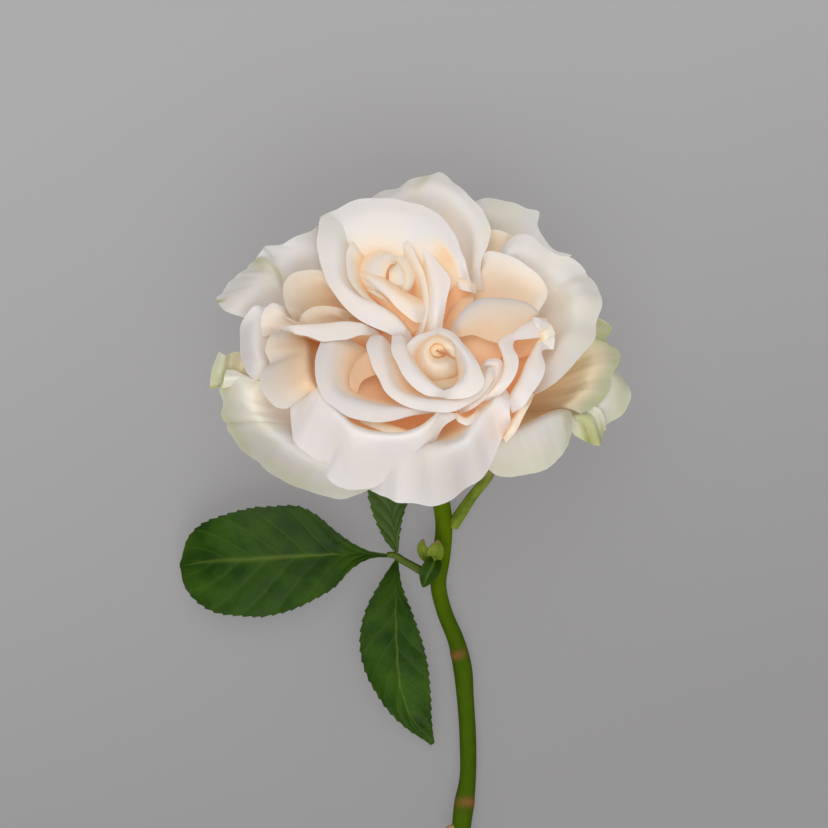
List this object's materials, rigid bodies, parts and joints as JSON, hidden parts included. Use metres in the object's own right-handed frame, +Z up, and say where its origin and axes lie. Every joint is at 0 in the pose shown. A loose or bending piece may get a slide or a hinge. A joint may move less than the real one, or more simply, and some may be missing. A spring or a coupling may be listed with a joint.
{
  "type": "cut rose",
  "caption": "Cut garden rose lying on a surface: an open cream and peach bloom with two hearts on a thorny green stem, with a toothed compound leaf and a side bud",
  "frame": {"origin": "on the surface that the rose lies on, in the middle of its bounding box", "axes": "+Y runs along the stem from the cut end towards the bloom, +X is to the right as the rose is seen from above, +Z is up from the surface"},
  "size_m": [0.123, 0.3013, 0.0759],
  "materials": {
    "petals": "soft satin petal skin, cream at the rims, peach in the depths, green tinted on the outer petals",
    "calyx": "matte green hip and sepals",
    "stem": "satin mid green skin with reddish node scars and prickles",
    "leaf": "glossy dark green upper side, paler matte underside, light midrib",
    "shoot": "satin yellow green with pinkish tips"
  },
  "bodies": {
    "root": {"bloom": "petals", "calyx": "calyx", "stem": "stem", "leaf": "leaf", "side_shoot": "shoot", "axil_shoot": "shoot"}
  },
  "joints": []
}
